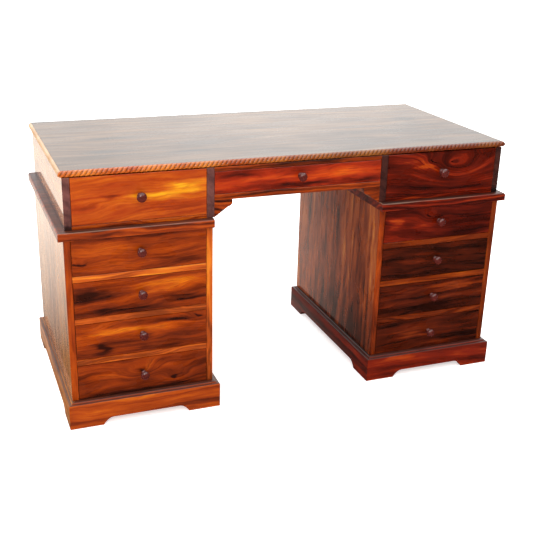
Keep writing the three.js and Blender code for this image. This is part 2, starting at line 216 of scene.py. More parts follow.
@dataclass(frozen=True)
class Sheesham:
    """Indian rosewood under clear lacquer: soft clouds and wandering dark bands on an amber ground.

    Lengths are in millimetres. figure is the spacing of the bands, sway how far they wander, tilt
    their slope along the board, heart a shift towards the dark heartwood, cloud the share of the
    tone that comes from soft clouds, stave the width of the glued-up boards in a panel (0 for one
    board), streak the share from thin straight streaks, coarseness a factor on every pattern's
    size, lines and flecks the strength of the fine dark lines and short dashes, lipping the palette
    of a front edge strip, relief how far the grain stands out, edge_wear_and_highlight how far the
    edges are painted pale, partly rubbed finish and partly painted highlight, and top_shade how far
    painted shade darkens faces that look up.
    """

    name: str
    grain: Grain
    palette: Palette
    seed: float
    figure: float = 24.0
    sway: float = 26.0
    tilt: float = 0.0
    heart: float = 0.0
    contrast: float = 1.0
    cloud: float = 0.40
    streak: float = 0.20
    coarseness: float = 1.0
    lines: float = 0.16
    flecks: float = 0.0
    relief: float = 0.12
    stave: float = 0.0
    knots: tuple[Knot, ...] = ()
    patches: tuple[Patch, ...] = ()
    board: tuple[Vector, Vector] | None = None
    lipping: Palette | None = None
    edge_wear_and_highlight: float = 0.0
    top_shade: float = 0.0
    polish: Polish = Polish.GLOSS

    def make(self) -> bpy.types.Material:
        """Builds the material."""
        material, tree = start_material(self.name)
        coords = add(tree, "TexCoord").outputs
        scaled = add(tree, "VectorMath", {0: coords["Object"], "Scale": 1 / MM}, operation="SCALE")
        axes = add(tree, "SeparateXYZ", (scaled,)).outputs
        along, across, through = (axes[letter] for letter in self.grain.value)
        shade = self.heart
        if self.stave:
            along, across, shade = self._staves(tree, along, across)
        offset = tuple(step * self.seed for step in SEED_STEPS)
        wood = add(tree, "CombineXYZ", (along, across, through))
        wood = add(tree, "VectorMath", (wood, offset), operation="ADD")
        field_mm = self._contours(tree, wood, along, across, through)
        ragged = self._ragged(tree, axes, wood)
        for knot in self.knots:
            field_mm, shade = self._knot(tree, knot, (axes, ragged), field_mm, shade)
        for patch in self.patches:
            mask = self._blob(tree, ragged, (patch.u, patch.v), (patch.half_length, patch.half_height))
            shade = add(tree, "Math", (mask, patch.shift, shade), operation="MULTIPLY_ADD")
        flow = add(tree, "CombineXYZ", (along, field_mm, through))
        flow = add(tree, "VectorMath", (flow, offset), operation="ADD")
        clouds = self._noise(tree, flow, (150, 30, 30), 4.0)
        level = self._level(tree, ((self._bands(tree, field_mm, self.figure, 3.0),
                                    1 - self.cloud - self.streak), (clouds, self.cloud),
                                   (self._noise(tree, flow, (130, 6, 6), 3.0), self.streak)), shade)
        body = self._ramp(tree, level, self.palette)
        if self.lipping:
            strip = self._ramp(tree, level, self.lipping)
            edge = self.board[0].y / MM + LIPPING_DEPTH
            front = add(tree, "Math", (axes["Y"], edge), operation="LESS_THAN")
            body = add(tree, "Mix", {0: front, MIX_A: body, MIX_B: strip}, data_type="RGBA")
        lines = self._bands(tree, field_mm, self.figure / 5, 2.0)
        body, pit = self._marks(tree, body, wood, flow, lines)
        # Paler edges: partly rubbed finish, partly painted highlight.
        if self.edge_wear_and_highlight:
            body = self._stain(tree, body, self._rubbed_and_highlit_edges(tree, axes, clouds), WORN_AND_HIGHLIT_EDGE)
        # Painted shade darkens the faces that look up.
        if self.top_shade:
            up = add(tree, "SeparateXYZ", (coords["Normal"],)).outputs["Z"]
            top_shade_mask = add(tree, "MapRange", {"Value": up, "From Min": 0.6, "From Max": 0.92,
                                          "To Max": self.top_shade})
            body = self._stain(tree, body, top_shade_mask, TOP_SHADE_COLOUR)
        self._surface(tree, wood, body, lines, pit)
        return material

    def _contours(self, tree: Tree, wood: Value, along: Value, across: Value, through: Value) -> Value:
        """The field whose contour lines the figure follows: across the board, tilted and wandering."""
        lean = add(tree, "Math", (along, self.tilt, across), operation="MULTIPLY_ADD")
        field_mm = add(tree, "Math", (through, 0.5, lean), operation="MULTIPLY_ADD")
        for stretch, detail, reach in (((420, 130, 130), 2.0, 4 * self.sway), ((90, 30, 30), 3.0, 18.0)):
            noise = self._noise(tree, wood, stretch, detail)
            swing = add(tree, "Math", (noise, 0.5), operation="SUBTRACT")
            field_mm = add(tree, "Math", (swing, reach, field_mm), operation="MULTIPLY_ADD")
        return field_mm

    def _marks(self, tree: Tree, body: Value, wood: Value, flow: Value, lines: Value) -> tuple:
        """Draws fine dark lines, short dashes and open pores over the wood.

        Returns:
            The wood's colour, and how deep each point is in a pore.
        """
        # Open pores are about 0.15 mm wide; they are drawn six times as coarse so that they show.
        marks = ((lines, 0.5, 0.72, self.lines),
                 (self._noise(tree, flow, (38, 3.4, 3.4), 2.0), 0.5, 0.7, self.flecks),
                 (self._noise(tree, wood, (12, 0.9, 0.9), 1.0), 0.6, 0.75, 0.25))
        for noise, least, most, strength in marks:
            mark = add(tree, "MapRange", {"Value": noise, "From Min": least, "From Max": most,
                                          "To Max": strength})
            body = self._stain(tree, body, mark, self.palette.umber)
        return body, mark

    def _staves(self, tree: Tree, along: Value, across: Value) -> tuple:
        """Shifts the figure from one glued-up stave to the next.

        Returns:
            The new along and across sockets, and the shade shift of each stave.
        """
        place = add(tree, "Math", (across, self.stave), operation="DIVIDE")
        index = add(tree, "Math", (place,), operation="FLOOR")
        index = add(tree, "Math", (index, 7.31 * self.seed), operation="ADD")
        draw = add(tree, "TexWhiteNoise", {"W": index}, noise_dimensions="1D").outputs["Value"]
        along = add(tree, "Math", (draw, STAVE_STEPS[0], along), operation="MULTIPLY_ADD")
        across = add(tree, "Math", (draw, STAVE_STEPS[1], across), operation="MULTIPLY_ADD")
        start = self.heart - STAVE_TONES / 2
        shade = add(tree, "Math", (draw, STAVE_TONES, start), operation="MULTIPLY_ADD")
        return along, across, shade

    def _noise(self, tree: Tree, wood: Value, stretch: tuple, detail: float) -> Value:
        """Noise whose cells are as long, wide and deep as stretch says, in millimetres."""
        scale = tuple(1 / (s * self.coarseness) for s in stretch)
        cells = add(tree, "VectorMath", (wood, scale), operation="MULTIPLY")
        return add(tree, "TexNoise", {"Vector": cells, "Scale": 1.0, "Detail": detail})

    def _bands(self, tree: Tree, field_mm: Value, spacing: float, detail: float) -> Value:
        """Uneven stripes that follow the figure's contour lines."""
        line = add(tree, "Math", (field_mm, 1 / spacing, 13.7 * self.seed), operation="MULTIPLY_ADD")
        return add(tree, "TexNoise", {"W": line, "Scale": 1.0, "Detail": detail, "Roughness": 0.5},
                   noise_dimensions="1D")

    def _level(self, tree: Tree, parts: tuple, shade: Value) -> Value:
        """How dark the wood is, from 0 to 1: bands, clouds and streaks mixed, then shifted."""
        total = 0.0
        for part, weight in parts:
            total = add(tree, "Math", (part, weight, total), operation="MULTIPLY_ADD")
        half_span = 0.17 / self.contrast
        spread = add(tree, "MapRange", {"Value": total, "From Min": 0.5 - half_span,
                                        "From Max": 0.5 + half_span}, clamp=False)
        return add(tree, "Math", (spread, shade), operation="ADD", use_clamp=True)

    def _ragged(self, tree: Tree, axes: object, wood: Value) -> dict[str, Value]:
        """The board's axes, pushed about so that knots and patches get ragged outlines."""
        push = add(tree, "VectorMath", (wood, (1 / 60, 1 / 16, 1 / 16)), operation="MULTIPLY")
        noise = add(tree, "TexNoise", {"Vector": push, "Scale": 1.0, "Detail": 2.0}).outputs["Color"]
        parts = add(tree, "SeparateXYZ", (noise,)).outputs
        moved = {}
        for letter, part, reach in zip(self.grain.value, (parts["X"], parts["Y"]), (90.0, 22.0)):
            swing = add(tree, "Math", (part, 0.5), operation="SUBTRACT")
            moved[letter] = add(tree, "Math", (swing, reach, axes[letter]), operation="MULTIPLY_ADD")
        return moved

    def _blob(self, tree: Tree, places: object, spot: Point, half: Point) -> Value:
        """A soft ellipse on the board: 1 at its middle, fading to 0.

        Args:
            places: the sockets of the places along and across the board, by axis letter.
            spot: the middle's place along and across the board, from 0 to 1.
            half: its half length and half height, in millimetres.
        """
        low, high = self.board
        total = None
        for letter, share, reach in zip(self.grain.value, spot, half):
            i = "XYZ".index(letter)
            middle = (low[i] + (high[i] - low[i]) * share) / MM
            off = add(tree, "Math", (places[letter], middle), operation="SUBTRACT")
            off = add(tree, "Math", (off, reach), operation="DIVIDE")
            total = add(tree, "Math", (off, off, total if total else 0.0), operation="MULTIPLY_ADD")
        fade = add(tree, "Math", (total, -1.0), operation="MULTIPLY")
        return add(tree, "Math", (fade,), operation="EXPONENT")

    def _knot(self, tree: Tree, knot: Knot, places: tuple, field_mm: Value, shade: Value) -> tuple:
        """Bends the figure smoothly round a knot and darkens its ragged middle."""
        smooth, ragged = places
        bend = self._blob(tree, smooth, (knot.u, knot.v), (2.6 * knot.radius, 1.3 * knot.radius))
        field_mm = add(tree, "Math", (bend, knot.rise, field_mm), operation="MULTIPLY_ADD")
        core = knot.core * knot.radius
        core = self._blob(tree, ragged, (knot.u, knot.v), (core, 0.6 * core))
        shade = add(tree, "Math", (core, knot.dark, shade), operation="MULTIPLY_ADD")
        return field_mm, shade

    def _rubbed_and_highlit_edges(self, tree: Tree, axes: object, clouds: Value) -> Value:
        """How pale the edges are painted: partly rubbed finish, partly painted highlight, most on the
        upper edges, in an uneven line.
        """
        gaps = []
        for i, letter in enumerate("XY"):
            middle = (self.board[0][i] + self.board[1][i]) / 2 / MM
            half = (self.board[1][i] - self.board[0][i]) / 2 / MM
            off = add(tree, "Math", (axes[letter], middle), operation="SUBTRACT")
            off = add(tree, "Math", (off,), operation="ABSOLUTE")
            gaps.append(add(tree, "Math", (half, off), operation="SUBTRACT"))
        face = add(tree, "Math", (gaps[0], gaps[1]), operation="MINIMUM")
        below = add(tree, "Math", (self.board[1].z / MM, axes["Z"]), operation="SUBTRACT")
        edge = add(tree, "Math", (face, below), operation="MAXIMUM")
        reach = add(tree, "Math", (clouds, WEAR_AND_HIGHLIGHT_REACH), operation="MULTIPLY")
        return add(tree, "MapRange", {"Value": edge, "From Min": 0.0, "From Max": reach,
                                      "To Min": self.edge_wear_and_highlight, "To Max": 0.0})

    def _stain(self, tree: Tree, body: Value, amount: Value, colour: str) -> Value:
        """Mixes one colour over the wood."""
        return add(tree, "Mix", {0: amount, MIX_A: body, MIX_B: linear(colour)}, data_type="RGBA")

    def _ramp(self, tree: Tree, level: Value, palette: Palette) -> Value:
        """The timber's colours from sapwood to heartwood."""
        stops = [(0.0, palette.gold), (1.0, palette.umber), (0.25, palette.amber),
                 (0.5, palette.russet), (0.75, palette.chestnut)]
        return add(tree, "ValToRGB", (level,), stops=stops)

    def _surface(self, tree: Tree, wood: Value, body: Value, lines: Value, pit: Value) -> None:
        """The lacquered surface: rubbed sheen, sunken pores and a clear coat."""
        rough, coat, coat_rough = self.polish.value
        smears = self._noise(tree, wood, (90, 40, 40), 2.0)
        sheen = add(tree, "MapRange", {"Value": smears, "From Min": 0.3, "From Max": 0.7,
                                       "To Min": rough * 0.8, "To Max": rough * 1.25})
        ridge = add(tree, "Math", (lines, 0.4), operation="MULTIPLY")
        relief = add(tree, "Math", (ridge, pit), operation="SUBTRACT")
        bump = add(tree, "Bump", {"Strength": self.relief, "Distance": 0.1 * MM, "Height": relief})
        surface = add(tree, "BsdfPrincipled", {
            "Base Color": body, "Roughness": sheen, "IOR": 1.5, "Specular IOR Level": 0.06,
            "Coat Weight": coat, "Coat Roughness": coat_rough, "Coat IOR": 1.5, "Normal": bump})
        add(tree, "OutputMaterial", {"Surface": surface})


@dataclass(frozen=True)
class CarvedSheesham:
    """The rope moulding's lacquered wood: warm on the strands, with painted shade darkening the cuts.

    right_end_tone_and_shade is how much darker the moulding is at its right end than at its left: partly
    the wood's own tone, partly painted shade where the light falls off to the right.
    """

    name: str = "sheesham_rope_carving"
    right_end_tone_and_shade: float = 0.68
    strand: str = "#a4400e"
    pale: str = "#d8802c"
    cut: str = "#30100a"
    cut_shade: float = 0.85

    def make(self) -> bpy.types.Material:
        """Builds the material, which reads how deep each point is in a cut."""
        material, tree = start_material(self.name)
        place = add(tree, "TexCoord").outputs["Object"]
        tone = add(tree, "TexNoise", {"Vector": place, "Scale": 9.0, "Detail": 5.0})
        wood = add(tree, "ValToRGB", (tone,), stops=[(0.4, self.strand), (0.68, self.pale)])
        # Darker towards the right end: partly the wood's own tone, partly painted shade where the light
        # falls off.
        run = add(tree, "SeparateXYZ", (place,)).outputs["X"]
        tone_and_shade_to_right = add(tree, "MapRange", {"Value": run, "From Min": -0.45, "From Max": 0.15,
                                      "To Max": self.right_end_tone_and_shade})
        wood = add(tree, "Mix", {0: tone_and_shade_to_right, MIX_A: wood, MIX_B: linear(self.cut)}, data_type="RGBA")
        # Painted shade in the cuts: the deeper a point sits in a cut, the darker it is painted.
        depth = add(tree, "Attribute", attribute_name="groove").outputs["Fac"]
        cut_shade = add(tree, "MapRange", {"Value": depth, "From Min": 0.3, "From Max": 0.9,
                                      "To Max": self.cut_shade})
        colour = add(tree, "Mix", {0: cut_shade, MIX_A: wood, MIX_B: linear(self.cut)}, data_type="RGBA")
        grain = add(tree, "TexNoise", {"Vector": place, "Scale": 900.0, "Detail": 2.0})
        bump = add(tree, "Bump", {"Strength": 0.1, "Distance": 0.1 * MM, "Height": grain})
        rough = add(tree, "MapRange", {"Value": cut_shade, "To Min": 0.25, "To Max": 0.5})
        surface = add(tree, "BsdfPrincipled", {
            "Base Color": colour, "Roughness": rough, "IOR": 1.5, "Specular IOR Level": 0.2,
            "Coat Weight": 0.7, "Coat Roughness": 0.12, "Normal": bump})
        add(tree, "OutputMaterial", {"Surface": surface})
        return material


@dataclass(frozen=True)
class TurnedRosewood:
    """Dark rosewood turned on a lathe and polished: near black, with fine rings and a hard shine."""

    name: str = "rosewood_turned_knob"
    light: str = "#6e2a22"
    dark: str = "#32100e"
    ring_mm: float = 1.6

    def make(self) -> bpy.types.Material:
        """Builds the material."""
        material, tree = start_material(self.name)
        place = add(tree, "TexCoord").outputs["Object"]
        stretched = add(tree, "VectorMath", (place, (1.0, 0.25, 1.0)), operation="MULTIPLY")
        rings = add(tree, "TexNoise", {"Vector": stretched, "Scale": 1 / (self.ring_mm * MM),
                                       "Detail": 3.0, "Distortion": 0.6})
        colour = add(tree, "ValToRGB", (rings,), stops=[(0.35, self.dark), (0.72, self.light)])
        rough = add(tree, "MapRange", {"Value": rings, "To Min": 0.18, "To Max": 0.32})
        bump = add(tree, "Bump", {"Strength": 0.12, "Distance": 0.08 * MM, "Height": rings})
        surface = add(tree, "BsdfPrincipled", {
            "Base Color": colour, "Roughness": rough, "IOR": 1.5, "Specular IOR Level": 0.15,
            "Coat Weight": 1.0, "Coat Roughness": 0.06, "Normal": bump})
        add(tree, "OutputMaterial", {"Surface": surface})
        return material


# ------------------------------------------------------------------ mesh helpers

def mesh_piece(name: str, points: list, faces: list, smooth: float | None = None) -> bpy.types.Object:
    """Makes a mesh object from points and faces.

    Args:
        name: the object's name.
        points: positions in metres, in the desk's frame.
        faces: tuples of point numbers, anticlockwise from outside.
        smooth: where given, edges flatter than this many degrees are shaded smooth.

    Returns:
        The object, linked to the scene.
    """
    mesh = bpy.data.meshes.new(name)
    mesh.from_pydata([tuple(p) for p in points], [], faces)
    mesh.validate()
    shaped = bmesh.new()
    shaped.from_mesh(mesh)
    bmesh.ops.recalc_face_normals(shaped, faces=shaped.faces)
    shaped.to_mesh(mesh)
    shaped.free()
    if smooth is not None:
        mesh.shade_smooth()
        mesh.set_sharp_from_angle(angle=math.radians(smooth))
    made = bpy.data.objects.new(name, mesh)
    bpy.context.scene.collection.objects.link(made)
    return made


def ease(target: bpy.types.Object, width: float = 1.0, weld: bool = False) -> None:
    """Rounds an object's sharp edges a little, as sanding does.

    Args:
        target: the object.
        width: the rounding in millimetres.
        weld: joins split points first, which imported meshes need.
    """
    if weld:
        join = target.modifiers.new("joined points", "WELD")
        join.merge_threshold = 0.01 * MM
    edges = target.modifiers.new("eased edges", "BEVEL")
    edges.width = width * MM
    edges.segments = 2
    edges.limit_method = "ANGLE"
    edges.angle_limit = math.radians(32)
    edges.use_clamp_overlap = True


def board(name: str, low: Vector, high: Vector) -> bpy.types.Object:
    """A plain sawn board between two corners."""
    xs, ys, zs = zip(low, high)
    points = [(x, y, z) for x in xs for y in ys for z in zs]
    faces = [(0, 1, 3, 2), (4, 6, 7, 5), (0, 4, 5, 1), (2, 3, 7, 6), (0, 2, 6, 4), (1, 5, 7, 3)]
    return mesh_piece(name, points, faces)


def dress(target: bpy.types.Object, material: bpy.types.Material, body: str) -> None:
    """Gives a new piece its finish and the body it rides on."""
    target.data.materials.append(material)
    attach(target, body)
    LOG.info("%s rides on %s", target.name, body)


def refinish(node: str, material: bpy.types.Material, edge: float = 1.0) -> None:
    """Gives one of the frame's own boards its finish and eased edges."""
    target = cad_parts[node]
    for holder in target.material_slots:
        holder.material = material
    ease(target, edge, weld=True)
    LOG.info("%s keeps its shape, with finish %s", node, material.name)


def arc(centre: Point, radii: Point, start: float, end: float, steps: int) -> list[Point]:
    """Points on an ellipse from one angle to another, in degrees."""
    turn = [math.radians(start + (end - start) * i / steps) for i in range(steps + 1)]
    return [(centre[0] + radii[0] * math.cos(a), centre[1] + radii[1] * math.sin(a)) for a in turn]


def rows_to_faces(rows: int, count: int, closed: bool) -> list[tuple[int, ...]]:
    """Quads between rows of points, each row of the same count, closed round or open."""
    last = count if closed else count - 1
    return [(r * count + i, r * count + (i + 1) % count, (r + 1) * count + (i + 1) % count,
             (r + 1) * count + i) for r in range(rows - 1) for i in range(last)]


# ------------------------------------------------------------------ the top

@dataclass
class RopeMoulding:
    """The carved nose round the front and both ends of the top. Lengths in millimetres."""

    pitch: float = 13.5
    cut: float = 3.0
    lean: float = 0.6
    steps_per_strand: int = 12
    steps_round: int = 12
    inset: float = 0.15
    strand_fullness: float = 0.8
    cut_fade: float = 0.35

    def build(self) -> list[bpy.types.Object]:
        """Builds the front run and the two end runs, mitred at the corners."""
        low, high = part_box("rope_moulding")
        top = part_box("desk_top")
        nose = top[0].y - low.y - CAD_GAP
        gap = top[0].x - low.x - nose
        inner_x = top[0].x - gap
        inner_y = top[0].y - gap
        proud = inner_y - low.y
        middle = (low.z + high.z) / 2
        half = (high.z - low.z) / 2
        runs = []
        front = self._run("rope_moulding_front", (inner_x, -inner_x), proud, half, (True, True),
                          lambda s, u, z: (s, inner_y - u, middle + z))
        runs.append(front)
        for side, sign in SIDES.items():
            place = self._end_place(sign, abs(inner_x), middle)
            runs.append(self._run(f"rope_moulding_{side}", (inner_y, high.y), proud, half,
                                  (True, False), place))
        return runs

    @staticmethod
    def _end_place(sign: int, inner: float, middle: float) -> Callable[..., tuple]:
        """Where a point of an end run goes: s back along the desk, u outwards, z up."""
        return lambda s, u, z: (sign * (inner + u), s, middle + z)

    def _run(self, name: str, span: Point, proud: float, half: float, mitred: tuple[bool, bool],
             place: Callable[..., tuple]) -> bpy.types.Object:
        """One straight run of rope.

        Args:
            name: the object's name.
            span: where its flat back starts and ends, in metres.
            proud: how far the nose stands out.
            half: half its height.
            mitred: whether each end is cut at 45 degrees.
            place: turns a place along the run, a distance out and a height into a point.

        Returns:
            The object.
        """
        pitch = self.pitch * MM
        length = span[1] - span[0]
        rows = round(length / pitch * self.steps_per_strand)
        points = []
        depths = []
        for r in range(rows + 1):
            share = r / rows
            for i in range(self.steps_round + 1):
                angle = math.pi * (i / self.steps_round - 0.5)
                start = span[0] - (proud * math.cos(angle) if mitred[0] else 0)
                end = span[1] + (proud * math.cos(angle) if mitred[1] else 0)
                s = start + (end - start) * share
                wrap = (s - span[0] - self.lean * angle * proud) / pitch
                ridge = abs(math.sin(math.pi * wrap)) ** self.strand_fullness
                sunk = self.cut * MM * (1 - ridge)
                fade = math.cos(angle) ** self.cut_fade if 0 < i < self.steps_round else 0.0
                scale = 1 - (sunk * fade + self.inset * MM) / proud
                points.append(place(s, proud * math.cos(angle) * scale, half * math.sin(angle) * scale))
                depths.append((1 - ridge) * fade)
        count = self.steps_round + 1
        faces = rows_to_faces(rows + 1, count, closed=True)
        faces.append(tuple(range(count)))
        faces.append(tuple(rows * count + i for i in reversed(range(count))))
        made = mesh_piece(name, points, faces, smooth=50)
        groove = made.data.attributes.new("groove", "FLOAT", "POINT")
        groove.data.foreach_set("value", depths)
        return made


@dataclass
class WritingTop:
    """The polished top board with its carved edge."""

    rope: RopeMoulding = field(default_factory=RopeMoulding)

    def build(self) -> None:
        """Dresses the top and hangs the carving on it."""
        smudges = (Patch(0.12, 0.28, 60, 16, 0.5), Patch(0.30, 0.20, 70, 12, 0.5),
                   Patch(0.16, 0.55, 90, 14, 0.4), Patch(0.90, 0.62, 40, 40, 0.4))
        wood = Sheesham("sheesham_polished_top", Grain.TOP, TOPWOOD, seed=3.0, figure=26.0, sway=40.0,
                        stave=155.0, cloud=0.6, streak=0.1, lines=0.05, relief=0.01, contrast=0.72,
                        coarseness=1.7, patches=smudges, board=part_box("desk_top")).make()
        refinish("desk_top", wood, 0.6)
        carving = CarvedSheesham().make()
        # The left end run gets pale colours: painted glare, where strong light from the left washes that
        # end out.
        glare_painted_carving = CarvedSheesham("sheesham_rope_carving_painted_glare", strand="#c29870", pale="#dfc09c",
                                cut="#7c5438").make()
        for run in self.rope.build():
            glare_painted = run.name.endswith("left")
            dress(run, glare_painted_carving if glare_painted else carving, CARCASE)
            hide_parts("rope_moulding")


# ------------------------------------------------------------------ upper case

@dataclass
class UpperCase:
    """The case that holds the three upper drawers."""

    lip_ease: float = 1.2

    def build(self) -> None:
        """Dresses the case's boards."""
        for i, side in enumerate(SIDES):
            self._upright(f"case_side_{side}", 11.0 + i)
            self._upright(f"case_partition_{side}", 14.0 + i)
            corbel = f"corbel_{side}"
            wood = Sheesham(f"sheesham_{corbel}", Grain.FRONT, ORANGE, seed=17.0 + i, figure=8.0,
                            heart=0.15, tilt=0.3 if side == "left" else -0.3, board=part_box(corbel))
            refinish(corbel, wood.make(), 0.8)
        back = Sheesham("sheesham_case_back", Grain.FRONT, BROWN, seed=19.0, polish=Polish.SATIN,
                        sway=16.0, contrast=0.75)
        refinish("case_back", back.make())
        rail_material = Sheesham("sheesham_centre_rails", Grain.FRONT, ORANGE, seed=21.0, figure=9.0,
                                 heart=0.10, sway=12.0).make()
        refinish("centre_top_rail", rail_material, 0.8)
        refinish("centre_rail", rail_material, self.lip_ease)

    def _upright(self, node: str, seed: float) -> None:
        """An end board or partition, with a dark strip along its front edge."""
        # Painted shade: a dark band along the foot of each end board, just above the ledge.
        ledge_line_shade = (Patch(0.5, 0.0, 900, 16, 1.0),)
        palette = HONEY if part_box(node)[0].x < 0 else BROWN
        wood = Sheesham(f"sheesham_{node}", Grain.SIDE_LEVEL, palette, seed=seed, relief=0.003,
                        sway=14.0, contrast=0.7, patches=ledge_line_shade if "side" in node else (),
                        lipping=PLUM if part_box(node)[0].x < 0 else SLATE, board=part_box(node))
        refinish(node, wood.make(), self.lip_ease)


# ------------------------------------------------------------------ pedestals

@dataclass
class Ledge:
    """The moulded ledge over a pedestal, with the strip and runners on it. Lengths in millimetres."""

    side: str
    round_top: float = 7.0
    round_bottom: float = 2.5
    strip_depth: float = 20.0
    joint: float = 0.2

    def build(self) -> None:
        """Builds the ledge board, the strip under the drawer and its runners."""
        sign = SIDES[self.side]
        node = f"{self.side}_pedestal_cap"
        low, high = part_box(node)
        case_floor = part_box(f"case_side_{self.side}")[0].z - CAD_GAP
        corner = Vector((high.x, high.y, case_floor))
        ledge = board(f"{self.side}_ledge", low, corner)
        self._mould(ledge, sign)
        # Its upward faces get painted shade, and its upper edges are painted pale, partly as rubbed
        # finish and partly as painted highlight.
        wood = Sheesham(f"sheesham_{self.side}_ledge", Grain.FRONT, RED if sign > 0 else ORANGE,
                        seed=31.0 + sign, figure=9.0, tilt=0.02, top_shade=0.7, edge_wear_and_highlight=0.4,
                        heart=0.08 if sign < 0 else 0.0, polish=Polish.WAXED, board=(low, corner))
        dress(ledge, wood.make(), CARCASE)
        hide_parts(node)
        self._strip_and_runners(node, high.z, case_floor)

    def _mould(self, ledge: bpy.types.Object, sign: int) -> None:
        """Rounds the ledge's front and outer edges."""
        shaped = bmesh.new()
        shaped.from_mesh(ledge.data)
        for radius, upper in ((self.round_top, True), (self.round_bottom, False)):
            edges = [e for e in shaped.edges if self._is_nose(e, shaped, sign, upper)]
            bmesh.ops.bevel(shaped, geom=edges, offset=radius * MM, segments=6, profile=0.5,
                            affect="EDGES")
        shaped.to_mesh(ledge.data)
        shaped.free()
        ledge.data.shade_smooth()
        ledge.data.set_sharp_from_angle(angle=math.radians(35))

    @staticmethod
    def _is_nose(edge: bmesh.types.BMEdge, shaped: bmesh.types.BMesh, sign: int, upper: bool) -> bool:
        """Whether an edge runs along the front or the outer end, at the top or at the bottom."""
        every = [v.co for v in shaped.verts]
        limits = {"level": max(p.z for p in every) if upper else min(p.z for p in every),
                  "front": min(p.y for p in every), "outer": max(p.x * sign for p in every)}
        places = [{"level": v.co.z, "front": v.co.y, "outer": v.co.x * sign} for v in edge.verts]
        on = {name: all(abs(p[name] - limit) < 1e-6 for p in places) for name, limit in limits.items()}
        return on["level"] and (on["front"] or on["outer"])

    def _strip_and_runners(self, node: str, top: float, floor: float) -> None:
        """The strip in front under the upper drawer, and a runner at each side of it."""
        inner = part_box(f"case_partition_{self.side}")
        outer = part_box(f"case_side_{self.side}")
        xs = sorted([inner[0].x, inner[1].x, outer[0].x, outer[1].x])[1:3]
        left, right = xs[0] + CAD_GAP, xs[1] - CAD_GAP
        near, far = inner[0].y, inner[1].y
        deep = self.strip_depth * MM
        bottom = floor + self.joint * MM
        wood = Sheesham(f"sheesham_{self.side}_bottom_rail", Grain.FRONT,
                        ORANGE if self.side == "left" else RED, seed=35.0, figure=7.0,
                        heart=-0.1).make()
        pieces = [board(f"{self.side}_bottom_rail", Vector((left, near, bottom)),
                        Vector((right, near + deep, top)))]
        runner_near = near + deep + self.joint * MM
        for name, x in (("left", left), ("right", right - deep)):
            runner = board(f"{self.side}_bay_{name}_runner", Vector((x, runner_near, bottom)),
                           Vector((x + deep, far, top)))
            pieces.append(runner)
        for piece in pieces:
            ease(piece, 0.8)
            dress(piece, wood, CARCASE)
            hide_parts(node)


